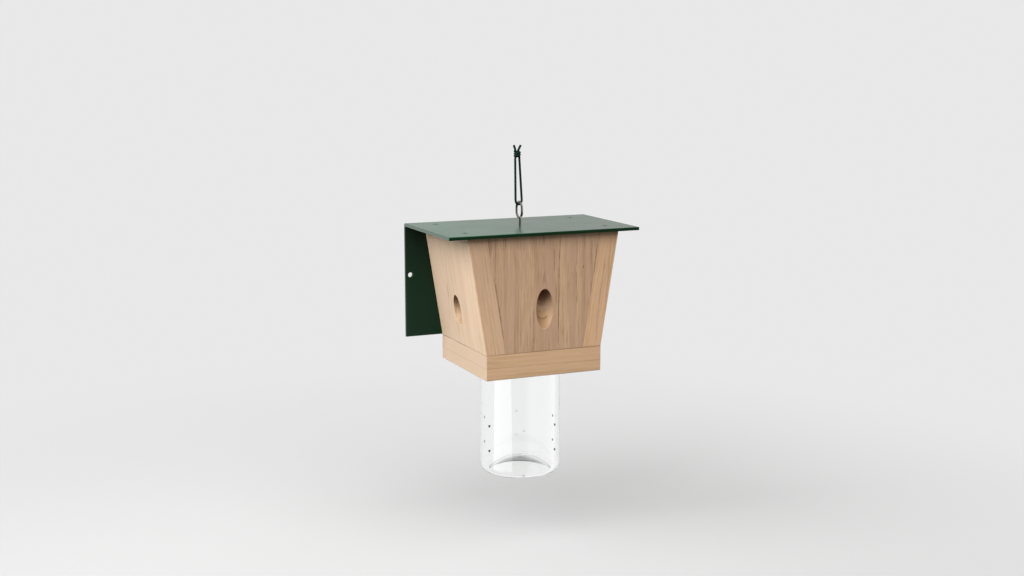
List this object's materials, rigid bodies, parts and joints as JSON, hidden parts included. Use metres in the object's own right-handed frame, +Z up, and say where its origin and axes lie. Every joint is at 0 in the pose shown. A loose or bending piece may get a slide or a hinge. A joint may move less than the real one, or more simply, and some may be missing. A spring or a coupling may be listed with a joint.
{
  "type": "carpenter bee trap",
  "caption": "Tapered wooden bee trap under a bent green sheet roof, with steep entry holes, a hanging eye and cord, and a clear vented jar that pulls down out of its floor.",
  "frame": {"origin": "on the jar's axis, on the plane that the jar's foot stands on", "axes": "+X to the right seen from the front, +Y from the front board to the wall flange, +Z up"},
  "size_m": [0.196, 0.1215, 0.3237],
  "materials": {
    "wall_wood": "bare planed softwood, vertical grain",
    "floor_wood": "bare planed softwood, level grain",
    "funnel_plastic": "translucent moulded plastic",
    "jar_plastic": "clear moulded plastic",
    "roof_green": "satin dark green sheet",
    "screw_green": "dark green screw heads",
    "fastener_steel": "zinc plated steel",
    "eye_steel": "bright zinc plated wire",
    "cord_green": "thin braided dark green cord"
  },
  "bodies": {
    "trap_body": {"left_board": "wall_wood", "right_board": "wall_wood", "front_board": "wall_wood", "back_board": "wall_wood", "ceiling_board": "wall_wood", "floor_board": "floor_wood", "funnel": "funnel_plastic", "roof_sheet": "roof_green", "roof_screws": "screw_green", "floor_screws": "fastener_steel", "left_brads": "fastener_steel", "right_brads": "fastener_steel", "ceiling_brads": "fastener_steel", "screw_eye": "eye_steel", "hanging_cord": "cord_green", "cord_knot": "cord_green"},
    "jar": {"jar": "jar_plastic"}
  },
  "joints": [
    {"name": "jar_pull", "type": "slide", "parent": "trap_body", "child": "jar", "axis": [0, 0, -1], "range_m": [0, 0.06]}
  ]
}
